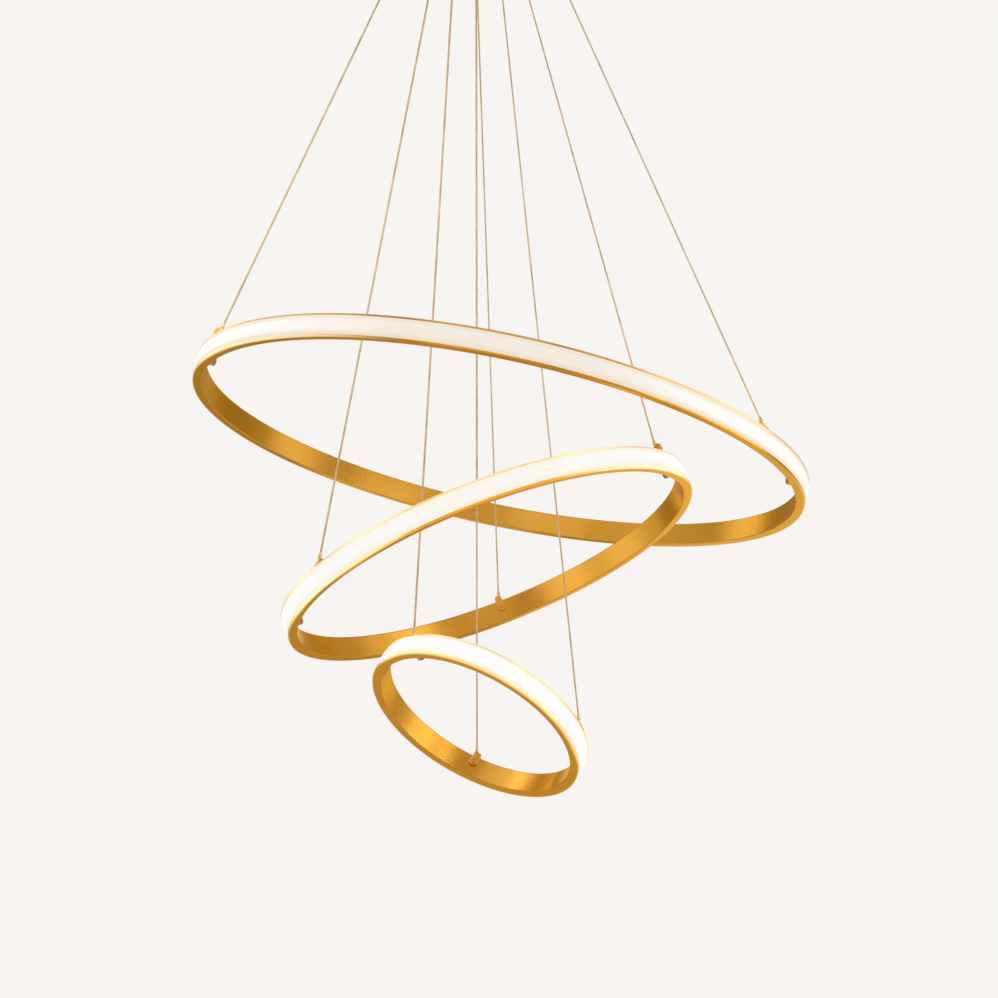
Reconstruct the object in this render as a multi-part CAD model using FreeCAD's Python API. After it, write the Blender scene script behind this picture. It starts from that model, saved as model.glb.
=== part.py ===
import FreeCAD, Part
import math
import os
from FreeCAD import Vector, Placement, Rotation

# Three-tier ring chandelier, in millimetres. +Z is up, and the origin is on the ceiling, at the
# centre of the canopy. Three lit rings hang under the canopy, each on three steel cables.
# The rings hang at the tilts that their cable lengths give them.

# ---- lit rings: the rolled channel, alike for all three ----
ring_height = 22.0          # along the axis of the ring
ring_depth = 9.0            # from the inner face to the outer edges of the flanges
web_thickness = 1.4         # the inner wall
flange_thickness = 1.8
edge_radius = 0.7           # the outside corners of the inner wall
snap_rib_width = 0.8        # rib inside each flange that holds the diffuser
snap_rib_height = 0.7
snap_rib_inset = 2.2        # from the flange edge to the rib
ledge_width = 0.6           # ledges that locate the light board on the inner wall
ledge_height = 0.7

# ---- diffuser: a soft white band that snaps into the mouth of the channel ----
diffuser_clearance = 0.2
diffuser_wall = 1.6
diffuser_crown = 0.9        # how far its middle stands out past the flanges
snap_leg_length = 2.8
snap_leg_thickness = 1.0
snap_barb_length = 1.1

# ---- light board and its bead of phosphor, inside the channel ----
board_width = 10.0
board_thickness = 0.4
glue_gap = 0.1
bead_width = 4.0
bead_height = 1.2
bead_gap = 0.05

# ---- suspension cables and their ends at the ring ----
supply_cable_diameter = 1.8     # the left cable of each ring, which also feeds it
plain_cable_diameter = 1.4
cable_clearance = 0.1           # around a cable, in every bore that it passes
ball_diameter = 3.8             # each cable ends in a ball joint with a tapered ferrule
ball_clearance = 0.15           # around the ball, in its socket
ball_rise = 2.3                 # above the top of the ring
ferrule_neck_diameter = 2.4
ferrule_neck_length = 4.6       # from the middle of the ball
ferrule_base_diameter = 4.6
ferrule_tip_diameter = 2.6
ferrule_cone_length = 5.0
ferrule_chamfer = 0.5
ferrule_clearance = 0.3         # between the ferrule and the clasp

# ---- hanger clasp: a drop-shaped tongue inside the ring, and a lug that stands over it ----
clasp_thickness = 1.2
clasp_gap = 0.25                # to the curved inner face and to the top
clasp_low_radius = 4.3          # the round end of the tongue
clasp_high_radius = 3.2         # the round end of the lug
tongue_drop = 11.0              # below the top of the ring
bridge_rise = 4.2               # above the top of the ring
lug_rise = 7.6                  # above the top of the ring
lug_thickness = 2.6
lug_overhang = 0.6              # past the outer edge of the flange
lug_crest = 0.3                 # the side view of the lug peaks this far over its front view
clasp_bend = 1.2
clasp_screw_shank = 2.0
clasp_screw_head = 4.0
clasp_screw_head_height = 1.1
screw_clearance = 0.1
cross_slot_width = 0.6
cross_slot_length = 2.4
cross_slot_depth = 0.6

# ---- lead bushes: where the supply leads enter the inner face ----
bush_diameter = 6.4
bush_flange_height = 4.4
bush_stem_diameter = 3.6
bush_bore_diameter = 1.6
bush_drop = 16.5                # below the top of the ring
bush_gap = 0.25

# ---- canopy ----
canopy_radius = 100.0
canopy_height = 45.0
canopy_wall = 1.0
canopy_corner = 9.0             # outside corner between the side and the face
canopy_bead = 1.6               # rolled bead around the rim

# ---- crossbar: fixed to the ceiling, and carries the canopy on two side screws ----
bar_width = 26.0
bar_thickness = 2.0
bar_tab_drop = 15.0
bar_fit_gap = 0.4               # to the inside of the canopy at its corners
bar_corner = 3.0
bar_slot_pitch = 84.0           # between the middles of the two slots
bar_slot_width = 5.0
bar_slot_length = 22.0          # overall
bar_centre_hole = 10.4
earth_hole = 4.2
earth_hole_offset = 12.0
side_screw_drop = 9.0           # below the ceiling
side_screw_shank = 4.0
side_screw_head = 8.0
side_screw_head_height = 5.0
side_screw_reach = 4.0          # past the tab
side_screw_flutes = 12
side_screw_gap = 0.25           # under the head

# ---- LED driver and terminal block, inside the canopy ----
driver_length = 112.0
driver_width = 38.0
driver_height = 21.0
driver_corner = 2.5
driver_side_gap = 2.0           # from the cable hole of the crossbar to the side of the driver
driver_ear_width = 10.0
driver_ear_thickness = 2.5
driver_ear_spacing = 46.0       # between the screws of the two ears
driver_screw_shank = 3.0
driver_screw_head = 5.6
driver_screw_head_height = 1.8
driver_screw_bite = 1.6         # into the crossbar
terminal_length = 24.0
terminal_width = 16.0
terminal_height = 12.0
terminal_ways = 3
terminal_screw_diameter = 3.6
terminal_foot_reach = 7.0       # foot that sits under the edge of the crossbar
terminal_foot_thickness = 2.0

# ---- cable grips, through the face of the canopy ----
grip_angles = {"left": 210.0, "right": 330.0, "far": 90.0}
outer_grip_circle = 140.0       # diameters of the circles that the grips stand on
middle_grip_circle = 80.0
inner_grip_circle = 47.0
grip_stub_diameter = 8.0
grip_stub_rise = 9.0            # above the face, inside
grip_body_diameter = 10.0
grip_body_length = 18.0
grip_nose_diameter = 8.0
grip_nose_length = 3.5
grip_collar_groove = 0.4
grip_bore_clearance = 0.1
grip_nut_across = 12.0
grip_nut_height = 3.5
plunger_diameter = 6.0
plunger_protrusion = 5.0
plunger_insert = 9.0            # inside the grip body
plunger_travel = 2.5
plunger_stop_gap = 0.6          # left above the plunger at the end of its travel
plunger_bore = 2.4
plunger_mouth = 4.8
cable_pivot_depth = 2.0         # the cable leaves this far inside the mouth of the plunger

# ---- the three rings: size, place and tilt ----
large_ring_diameter = 600.0
middle_ring_diameter = 410.0
small_ring_diameter = 215.0
large_ring_drop = 593.5         # from the ceiling to the middle of the ring
middle_ring_drop = 712.0
small_ring_drop = 867.0
large_ring_offset = 23.7        # sideways, along X
middle_ring_offset = 12.9
small_ring_offset = 5.0
ring_tilt = {1: 11.8, 2: 20.7, 3: 31.5}             # degrees from level
ring_lean = {1: -5.3, 2: 172.8, 3: 34.1}            # direction of its lower side, degrees from +X
hanger_angles = {
    1: {"left": 205.0, "right": 325.0, "far": 95.3},
    2: {"left": 218.0, "right": 329.5, "far": 86.0},
    3: {"left": 220.0, "right": 335.0, "far": 91.0},
}
bush_angles = {1: (198.0, 345.0), 2: (190.0, 336.0), 3: (229.0,)}
sides = ("left", "right", "far")

# ---- worked out from the sizes above ----
ring_radius = {1: large_ring_diameter / 2, 2: middle_ring_diameter / 2, 3: small_ring_diameter / 2}
ring_drop = {1: large_ring_drop, 2: middle_ring_drop, 3: small_ring_drop}
ring_offset = {1: large_ring_offset, 2: middle_ring_offset, 3: small_ring_offset}
grip_circle = {1: outer_grip_circle / 2, 2: middle_grip_circle / 2, 3: inner_grip_circle / 2}
half_height = ring_height / 2
grip_exit_z = -(canopy_height + grip_body_length)
plunger_tip_z = grip_exit_z - plunger_protrusion
cable_pivot_z = plunger_tip_z + cable_pivot_depth

os.makedirs("parts", exist_ok=True)


def save(name, *solids):
    """One file for each kind of piece, with its separate solids."""
    shape = solids[0] if len(solids) == 1 else Part.makeCompound(list(solids))
    shape.exportStep("parts/" + name + ".step")


def line(a, b):
    return Part.LineSegment(Vector(a[0], 0, a[1]), Vector(b[0], 0, b[1])).toShape()


def arc(a, middle, b):
    points = [Vector(p[0], 0, p[1]) for p in (a, middle, b)]
    return Part.Arc(*points).toShape()


def polygon(points):
    """A closed outline through points given as (radius, height)."""
    return [line(points[i - 1], points[i]) for i in range(len(points))]


def turned(edges):
    """The solid that the closed outline sweeps in a full turn about Z."""
    face = Part.Face(Part.Wire(Part.__sortEdges__(edges)))
    return face.revolve(Vector(0, 0, 0), Vector(0, 0, 1), 360)


def cylinder(radius, height, x=0.0, y=0.0, z=0.0):
    return Part.makeCylinder(radius, height, Vector(x, y, z))


def along_x(radius, length, x, z):
    return Part.makeCylinder(radius, length, Vector(x, 0, z), Vector(1, 0, 0))


def ring_placement(n):
    """Takes a ring from its own level frame to where it hangs."""
    lean = math.radians(ring_lean[n])
    axis = Vector(-math.sin(lean), math.cos(lean), 0)
    centre = Vector(ring_offset[n], 0, -ring_drop[n])
    return Placement(centre, Rotation(axis, ring_tilt[n]))


def around(shape, angle):
    """A copy of the shape, turned about Z by that many degrees."""
    copy = shape.copy()
    copy.rotate(Vector(0, 0, 0), Vector(0, 0, 1), angle)
    return copy


def hung(shape, n):
    """A copy of the shape, taken from the level frame of the ring to its place."""
    copy = shape.copy()
    copy.Placement = ring_placement(n).multiply(copy.Placement)
    return copy


# ---------------------------------------------------------------- lit rings

def channel_outline(outer):
    """The rolled channel: open outward, with snap ribs in its flanges and ledges on its wall."""
    inner = outer - ring_depth
    top = half_height
    under = top - flange_thickness
    wall = inner + web_thickness
    rib_out = outer - snap_rib_inset
    rib_in = rib_out - snap_rib_width
    rib_low = under - snap_rib_height
    ledge_low = board_width / 2 + glue_gap
    ledge_high = ledge_low + ledge_width
    ledge_out = wall + ledge_height
    bend = edge_radius * (1 - math.sqrt(0.5))
    upper = [
        (inner + edge_radius, top), (outer, top), (outer, under), (rib_out, under),
        (rib_out, rib_low), (rib_in, rib_low), (rib_in, under), (wall, under),
        (wall, ledge_high), (ledge_out, ledge_high), (ledge_out, ledge_low), (wall, ledge_low),
    ]
    lower = [(r, -z) for r, z in reversed(upper)]
    path = upper + lower
    edges = [line(path[i], path[i + 1]) for i in range(len(path) - 1)]
    edges.append(arc((inner + edge_radius, -top), (inner + bend, -top + bend),
                     (inner, -top + edge_radius)))
    edges.append(line((inner, -top + edge_radius), (inner, top - edge_radius)))
    edges.append(arc((inner, top - edge_radius), (inner + bend, top - bend),
                     (inner + edge_radius, top)))
    return edges


def diffuser_outline(outer):
    """A crowned band with a barbed leg at each edge, which snaps behind the rib of the flange."""
    edge = half_height - flange_thickness - diffuser_clearance
    back = outer - diffuser_wall
    shoulder = outer - snap_rib_inset + diffuser_clearance
    rib_in = outer - snap_rib_inset - snap_rib_width
    barb = rib_in - diffuser_clearance
    leg_out = half_height - flange_thickness - snap_rib_height - diffuser_clearance
    leg_in = leg_out - snap_leg_thickness
    tip = back - snap_leg_length
    upper = [
        (outer, edge), (shoulder, edge), (shoulder, leg_out), (barb, leg_out),
        (barb, edge), (barb - snap_barb_length, leg_out), (tip, leg_out), (tip, leg_in),
        (back, leg_in),
    ]
    lower = [(r, -z) for r, z in reversed(upper)]
    path = upper + lower
    edges = [line(path[i], path[i + 1]) for i in range(len(path) - 1)]
    edges.append(arc((outer, -edge), (outer + diffuser_crown, 0), (outer, edge)))
    return edges


def board_outline(outer):
    back = outer - ring_depth + web_thickness + glue_gap
    front = back + board_thickness
    half = board_width / 2
    return polygon([(back, -half), (front, -half), (front, half), (back, half)])


def bead_outline(outer):
    back = outer - ring_depth + web_thickness + glue_gap + board_thickness + bead_gap
    half = bead_width / 2
    return [
        line((back, -half), (back, half)),
        arc((back, half), (back + bead_height, 0), (back, -half)),
    ]


def screw_place(n):
    """Radius and height of the clasp screw, in the middle of the round end of the tongue."""
    return ring_radius[n] - ring_depth, half_height - tongue_drop + clasp_low_radius


def ring_channel(n):
    channel = turned(channel_outline(ring_radius[n]))
    inner, screw_z = screw_place(n)
    hole = along_x(clasp_screw_shank / 2 + screw_clearance, web_thickness * 3,
                   inner - web_thickness, screw_z)
    stem = along_x(bush_stem_diameter / 2 + screw_clearance, web_thickness * 3,
                   inner - web_thickness, half_height - bush_drop)
    cuts = [around(hole, hanger_angles[n][side]) for side in sides]
    cuts += [around(stem, angle) for angle in bush_angles[n]]
    return channel.cut(cuts)


def clasp_side(n):
    """The clasp from the side: tongue, bridge over the top of the ring, and standing lug."""
    back = ring_radius[n] - ring_depth - clasp_gap
    front = back - clasp_thickness
    bottom = half_height - tongue_drop
    seat = half_height + clasp_gap
    bridge = half_height + bridge_rise
    lug_out = ring_radius[n] + lug_overhang
    lug_in = lug_out - lug_thickness
    lug_top = half_height + lug_rise + lug_crest
    shoulder = lug_top - lug_thickness / 2
    soft = clasp_bend * (1 - math.sqrt(0.5))
    return [
        line((front, bottom), (front, bridge - clasp_bend)),
        arc((front, bridge - clasp_bend), (front + soft, bridge - soft),
            (front + clasp_bend, bridge)),
        line((front + clasp_bend, bridge), (lug_in, bridge)),
        line((lug_in, bridge), (lug_in, shoulder)),
        arc((lug_in, shoulder), ((lug_in + lug_out) / 2, lug_top), (lug_out, shoulder)),
        line((lug_out, shoulder), (lug_out, seat)),
        line((lug_out, seat), (back, seat)),
        line((back, seat), (back, bottom)),
        line((back, bottom), (front, bottom)),
    ]


def clasp_front():
    """The clasp from the front: a drop, wide and round at the tongue, narrower at the lug."""
    low = half_height - tongue_drop + clasp_low_radius
    high = half_height + lug_rise - clasp_high_radius
    slope = math.asin((clasp_low_radius - clasp_high_radius) / (high - low))
    low_side = (clasp_low_radius * math.cos(slope), low + clasp_low_radius * math.sin(slope))
    high_side = (clasp_high_radius * math.cos(slope), high + clasp_high_radius * math.sin(slope))
    low_left = (-low_side[0], low_side[1])
    high_left = (-high_side[0], high_side[1])
    return [
        arc(low_side, (0, low - clasp_low_radius), low_left),
        line(low_left, high_left),
        arc(high_left, (0, high + clasp_high_radius), high_side),
        line(high_side, low_side),
    ]


def clasp_blank(n):
    """The clasp at angle 0, before its screw hole and its ball socket."""
    width = 2 * clasp_low_radius
    side = Part.Face(Part.Wire(Part.__sortEdges__(clasp_side(n))))
    side.translate(Vector(0, -width, 0))
    plate = side.extrude(Vector(0, 2 * width, 0))
    front = Part.Face(Part.Wire(Part.__sortEdges__(clasp_front())))
    front.rotate(Vector(0, 0, 0), Vector(0, 0, 1), 90)
    drop = front.extrude(Vector(2 * ring_radius[n], 0, 0))
    inner, screw_z = screw_place(n)
    screw_hole = along_x(clasp_screw_shank / 2 + screw_clearance, clasp_thickness * 4,
                         inner - clasp_thickness * 3, screw_z)
    return plate.common(drop).cut(screw_hole)


def clasp(n, side):
    """The clasp where it hangs, with the socket that lets the ball swivel to its cable."""
    blank = hung(around(clasp_blank(n), hanger_angles[n][side]), n)
    middle = ball_point(n, side)
    up = cable_direction(n, side)
    down = ring_placement(n).Rotation.multVec(Vector(0, 0, -1))
    socket = ball_diameter / 2 + ball_clearance
    neck = ferrule_neck_diameter / 2 + ball_clearance
    relief = ferrule_base_diameter / 2 + ferrule_clearance
    relief_start = middle + up * (ferrule_neck_length - ferrule_clearance)
    return blank.cut([
        Part.makeSphere(socket, middle),
        Part.makeCylinder(socket, ring_height / 4, middle, down),
        Part.makeCylinder(neck, ring_height, middle, up),
        Part.makeCylinder(relief, ring_height, relief_start, up),
    ])


def clasp_screw(n):
    """A small domed screw through the tongue and the inner wall."""
    inner, screw_z = screw_place(n)
    seat = inner - clasp_gap - clasp_thickness
    head = along_x(clasp_screw_head / 2, clasp_screw_head_height,
                   seat - clasp_screw_head_height, screw_z)
    rim = [e for e in head.Edges if e.BoundBox.XMax < seat - clasp_screw_head_height / 2
           and len(e.Vertexes) == 1]
    head = head.makeFillet(clasp_screw_head_height * 0.6, rim)
    shank = along_x(clasp_screw_shank / 2, clasp_thickness + clasp_gap + web_thickness, seat,
                    screw_z)
    half = cross_slot_length / 2
    left = seat - clasp_screw_head_height
    slot = Part.makeBox(cross_slot_depth, cross_slot_width, cross_slot_length,
                        Vector(left, -cross_slot_width / 2, screw_z - half))
    cross = Part.makeBox(cross_slot_depth, cross_slot_length, cross_slot_width,
                         Vector(left, -half, screw_z - cross_slot_width / 2))
    return head.fuse(shank).cut([slot, cross])


def bush(n):
    """A flanged bush that lines the hole where a supply lead enters the channel."""
    inner = ring_radius[n] - ring_depth
    seat = inner - bush_gap
    tip = seat - bush_flange_height
    z = half_height - bush_drop
    flange = along_x(bush_diameter / 2, bush_flange_height, tip, z)
    rim = [e for e in flange.Edges if e.BoundBox.XMax < seat - bush_flange_height / 2
           and len(e.Vertexes) == 1]
    flange = flange.makeFillet(bush_flange_height * 0.4, rim)
    stem = along_x(bush_stem_diameter / 2, web_thickness + bush_gap, seat, z)
    bore = along_x(bush_bore_diameter / 2, bush_flange_height * 3, tip - 1, z)
    return flange.fuse(stem).cut(bore)


# ---------------------------------------------------------------- cables and their ends

def grip_point(n, side):
    """Where the cable leaves its grip at the canopy."""
    angle = math.radians(grip_angles[side])
    radius = grip_circle[n]
    return Vector(radius * math.cos(angle), radius * math.sin(angle), cable_pivot_z)


def ball_point(n, side):
    """The middle of the ball on the end of the cable, over the middle of the ring's section."""
    angle = math.radians(hanger_angles[n][side])
    radius = ring_radius[n] - ring_depth / 2
    level = Vector(radius * math.cos(angle), radius * math.sin(angle), half_height + ball_rise)
    return ring_placement(n).multVec(level)


def cable_direction(n, side):
    """From the ring up to the grip."""
    run = grip_point(n, side) - ball_point(n, side)
    return run.normalize()


def cable_diameter(side):
    return supply_cable_diameter if side == "left" else plain_cable_diameter


def cable(n, side):
    start = ball_point(n, side)
    run = grip_point(n, side) - start
    return Part.makeCylinder(cable_diameter(side) / 2, run.Length, start, run)


def cable_end(n, side):
    """Ball, neck and tapered ferrule in one, with the bore that the cable is crimped in."""
    ball = ball_diameter / 2
    neck = ferrule_neck_diameter / 2
    base = ferrule_base_diameter / 2
    tip = ferrule_tip_diameter / 2
    hole = cable_diameter(side) / 2 + cable_clearance
    low = ferrule_neck_length
    high = low + ferrule_cone_length
    waist = math.sqrt(ball ** 2 - neck ** 2)
    mouth = -cable_clearance
    outline = [
        line((hole, mouth), (0, mouth)),
        line((0, mouth), (0, -ball)),
        arc((0, -ball), (ball, 0), (neck, waist)),
        line((neck, waist), (neck, low)),
        line((neck, low), (base - ferrule_chamfer, low)),
        line((base - ferrule_chamfer, low), (base, low + ferrule_chamfer)),
        line((base, low + ferrule_chamfer), (tip, high)),
        line((tip, high), (hole, high)),
        line((hole, high), (hole, mouth)),
    ]
    piece = turned(outline)
    piece.Placement = Placement(ball_point(n, side),
                                Rotation(Vector(0, 0, 1), cable_direction(n, side)))
    return piece


# ---------------------------------------------------------------- canopy

def grip_places():
    return [(n, side, grip_point(n, side)) for n in ring_radius for side in sides]


def canopy_shell():
    """A spun cup: rolled bead at the ceiling, straight side, round corner, flat face."""
    outer = canopy_radius
    inner = outer - canopy_wall
    low = -canopy_height
    inside_corner = canopy_corner - canopy_wall
    cut = 1 - math.sqrt(0.5)
    edges = [
        line((inner, 0), (outer, 0)),
        arc((outer, 0), (outer + canopy_bead / 2, -canopy_bead), (outer, -2 * canopy_bead)),
        line((outer, -2 * canopy_bead), (outer, low + canopy_corner)),
        arc((outer, low + canopy_corner),
            (outer - canopy_corner * cut, low + canopy_corner * cut),
            (outer - canopy_corner, low)),
        line((outer - canopy_corner, low), (0, low)),
        line((0, low), (0, low + canopy_wall)),
        line((0, low + canopy_wall), (inner - inside_corner, low + canopy_wall)),
        arc((inner - inside_corner, low + canopy_wall),
            (inner - inside_corner * cut, low + canopy_wall + inside_corner * cut),
            (inner, low + canopy_wall + inside_corner)),
        line((inner, low + canopy_wall + inside_corner), (inner, 0)),
    ]
    shell = turned(edges)
    hole = grip_stub_diameter / 2 + screw_clearance
    cuts = [cylinder(hole, canopy_wall * 3, p.x, p.y, low - canopy_wall)
            for n, side, p in grip_places()]
    side_hole = along_x(side_screw_shank / 2 + screw_clearance, canopy_wall * 4,
                        inner - canopy_wall, -side_screw_drop)
    cuts += [side_hole, around(side_hole, 180)]
    return shell.cut(cuts)


def bar_half_length():
    """The corners of the crossbar just clear the inside of the canopy."""
    reach = canopy_radius - canopy_wall - bar_fit_gap
    return math.sqrt(reach ** 2 - (bar_width / 2) ** 2)


def slot(x):
    """A slot through the bar, along it, centred at x."""
    straight = bar_slot_length - bar_slot_width
    radius = bar_slot_width / 2
    depth = bar_thickness * 3
    low = -bar_thickness * 2
    middle = Part.makeBox(straight, bar_slot_width, depth,
                          Vector(x - straight / 2, -radius, low))
    ends = [cylinder(radius, depth, x - straight / 2, 0, low),
            cylinder(radius, depth, x + straight / 2, 0, low)]
    return middle.fuse(ends)


def crossbar():
    """A steel strip with turned-down ends, slots for the ceiling screws and a cable hole."""
    half = bar_half_length()
    bar = Part.makeBox(2 * half, bar_width, bar_thickness,
                       Vector(-half, -bar_width / 2, -bar_thickness))
    tab = Part.makeBox(bar_thickness, bar_width, bar_tab_drop,
                       Vector(half - bar_thickness, -bar_width / 2, -bar_tab_drop))
    corners = [e for e in tab.Edges if e.BoundBox.ZMax < -bar_tab_drop / 2
               and e.BoundBox.XLength > bar_thickness / 2 and e.BoundBox.YLength < 1]
    tab = tab.makeFillet(bar_corner, corners)
    bar = bar.fuse([tab, around(tab, 180)]).removeSplitter()
    screw_hole = along_x(side_screw_shank / 2 + screw_clearance, 2 * canopy_radius,
                         -canopy_radius, -side_screw_drop)
    depth = bar_thickness * 3
    low = -bar_thickness * 2
    cuts = [slot(-bar_slot_pitch / 2), slot(bar_slot_pitch / 2), screw_hole,
            cylinder(bar_centre_hole / 2, depth, 0, 0, low),
            cylinder(earth_hole / 2, depth, -earth_hole_offset, 0, low)]
    cuts += [cylinder(driver_screw_shank / 2 + screw_clearance, depth, x, 0, low)
             for x in (-driver_ear_spacing / 2, driver_ear_spacing / 2)]
    return bar.cut(cuts)


def side_screw():
    """A thumb screw with a fluted head, through the side of the canopy into the crossbar tab."""
    head_start = canopy_radius + side_screw_gap
    head = along_x(side_screw_head / 2, side_screw_head_height, head_start, -side_screw_drop)
    end = head_start + side_screw_head_height
    rim = [e for e in head.Edges if e.BoundBox.XMin > end - 1 and len(e.Vertexes) == 1]
    head = head.makeFillet(side_screw_head_height * 0.2, rim)
    flutes = []
    for i in range(side_screw_flutes):
        angle = 2 * math.pi * i / side_screw_flutes
        y = side_screw_head / 2 * math.cos(angle)
        z = side_screw_head / 2 * math.sin(angle) - side_screw_drop
        flutes.append(Part.makeCylinder(side_screw_head * 0.05, side_screw_head_height,
                                        Vector(head_start, y, z), Vector(1, 0, 0)))
    start = bar_half_length() - bar_thickness - side_screw_reach
    shank = along_x(side_screw_shank / 2, head_start - start, start, -side_screw_drop)
    return head.cut(flutes).fuse(shank)


def driver():
    """The moulded power supply, beside the bar and screwed under it by two ears."""
    top = -bar_thickness
    half = driver_length / 2
    near = bar_centre_hole / 2 + driver_side_gap
    box = Part.makeBox(driver_length, driver_width, driver_height,
                       Vector(-half, near, top - driver_height))
    upright = [e for e in box.Edges if e.BoundBox.ZLength > driver_height / 2]
    bottom = [e for e in box.Edges if e.BoundBox.ZMax < top - driver_height / 2]
    box = box.makeFillet(driver_corner, upright + bottom)
    round_end = driver_ear_width / 2
    ears = []
    for x in (-driver_ear_spacing / 2, driver_ear_spacing / 2):
        arm = Part.makeBox(driver_ear_width, near + driver_corner, driver_ear_thickness,
                           Vector(x - round_end, 0, top - driver_ear_thickness))
        end = cylinder(round_end, driver_ear_thickness, x, 0, top - driver_ear_thickness)
        hole = cylinder(driver_screw_shank / 2 + screw_clearance, driver_height, x, 0,
                        top - driver_height)
        ears.append(arm.fuse(end).cut(hole))
    return box.fuse(ears).removeSplitter()


def driver_screw(x):
    """Pan-head screw, up through the ear of the driver into the crossbar."""
    seat = -bar_thickness - driver_ear_thickness
    head = cylinder(driver_screw_head / 2, driver_screw_head_height, x, 0,
                    seat - driver_screw_head_height)
    rim = [e for e in head.Edges if e.BoundBox.ZMax < seat - driver_screw_head_height / 2
           and len(e.Vertexes) == 1]
    head = head.makeFillet(driver_screw_head_height * 0.5, rim)
    shank = cylinder(driver_screw_shank / 2, driver_ear_thickness + driver_screw_bite, x, 0, seat)
    return head.fuse(shank)


def terminal_block():
    """A row of screw terminals, with a foot under the front edge of the crossbar."""
    top = -bar_thickness
    edge = -bar_width / 2
    block = Part.makeBox(terminal_length, terminal_width, terminal_height,
                         Vector(-terminal_length / 2, edge - terminal_width,
                                top - terminal_height))
    foot = Part.makeBox(terminal_length, terminal_foot_reach, terminal_foot_thickness,
                        Vector(-terminal_length / 2, edge, top - terminal_foot_thickness))
    pitch = terminal_length / terminal_ways
    cuts = []
    for i in range(terminal_ways):
        x = pitch * (i + 0.5) - terminal_length / 2
        y = edge - terminal_width
        cuts.append(cylinder(terminal_screw_diameter / 2, terminal_height / 2,
                             x, y + terminal_width / 2, top - terminal_height * 1.1))
        cuts.append(Part.makeBox(pitch / 2, terminal_width * 0.3, terminal_height * 0.4,
                                 Vector(x - pitch / 4, y - 1, top - terminal_height * 0.7)))
    return block.fuse(foot).cut(cuts)


def grip_body():
    """The body of a cable grip: threaded stub, turned body with a groove, and tapered nose."""
    stub = grip_stub_diameter / 2
    body = grip_body_diameter / 2
    nose = grip_nose_diameter / 2
    bore = plunger_diameter / 2 + grip_bore_clearance
    pass_bore = plunger_bore / 2
    face = -canopy_height
    low = face - grip_body_length
    nose_top = low + grip_nose_length
    groove = face - grip_body_length * 0.35
    room = low + plunger_insert + plunger_travel + plunger_stop_gap
    return turned(polygon([
        (pass_bore, face + grip_stub_rise), (stub, face + grip_stub_rise), (stub, face),
        (body, face), (body, groove), (body - grip_collar_groove, groove - grip_collar_groove),
        (body - grip_collar_groove, groove - 3 * grip_collar_groove),
        (body, groove - 4 * grip_collar_groove), (body, nose_top), (nose, low), (bore, low),
        (bore, room), (pass_bore, room),
    ]))


def grip_nut():
    """The hexagon nut that holds a grip in the face of the canopy."""
    across = grip_nut_across / 2 / math.cos(math.radians(30))
    points = [Vector(across * math.cos(math.radians(60 * i)),
                     across * math.sin(math.radians(60 * i)), 0) for i in range(7)]
    face = Part.Face(Part.makePolygon(points))
    nut = face.extrude(Vector(0, 0, grip_nut_height))
    nut.translate(Vector(0, 0, canopy_wall - canopy_height))
    return nut.cut(cylinder(grip_stub_diameter / 2 + cable_clearance, canopy_height, 0, 0,
                            -canopy_height))


def plunger():
    """The release tip of a grip: pushed up, it frees the cable. Its mouth flares for the cable."""
    outer = plunger_diameter / 2
    top = grip_exit_z + plunger_insert
    low = plunger_tip_z
    bore = plunger_bore / 2
    mouth = plunger_mouth / 2
    ease = 0.5
    return turned(polygon([
        (bore, top), (outer, top), (outer, low + ease), (outer - ease, low), (mouth, low),
        (bore, low + plunger_protrusion),
    ]))


def moved(shape, x, y):
    copy = shape.copy()
    copy.translate(Vector(x, y, 0))
    return copy


# ---------------------------------------------------------------- all the pieces

save("canopy_shell", canopy_shell())
save("ceiling_crossbar", crossbar())
save("canopy_side_screws", side_screw(), around(side_screw(), 180))
save("led_driver", driver())
save("driver_screws", driver_screw(-driver_ear_spacing / 2), driver_screw(driver_ear_spacing / 2))
save("terminal_block", terminal_block())
places = [(p.x, p.y) for n, side, p in grip_places()]
save("cable_grip_bodies", *[moved(grip_body(), x, y) for x, y in places])
save("cable_grip_nuts", *[moved(grip_nut(), x, y) for x, y in places])

for n in ring_radius:
    name = "ring_%d_" % n
    outer = ring_radius[n]
    save(name + "channel", hung(ring_channel(n), n))
    save(name + "diffuser", hung(turned(diffuser_outline(outer)), n))
    save(name + "light_board", hung(turned(board_outline(outer)), n))
    save(name + "phosphor_bead", hung(turned(bead_outline(outer)), n))
    turns = [hanger_angles[n][side] for side in sides]
    save(name + "hanger_clasps", *[clasp(n, side) for side in sides])
    save(name + "clasp_screws", *[hung(around(clasp_screw(n), a), n) for a in turns])
    save(name + "lead_bushes", *[hung(around(bush(n), a), n) for a in bush_angles[n]])
    save(name + "cable_ends", *[cable_end(n, side) for side in sides])
    for side in sides:
        save(name + side + "_cable", cable(n, side))
        p = grip_point(n, side)
        save(name + side + "_grip_plunger", moved(plunger(), p.x, p.y))
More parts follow.
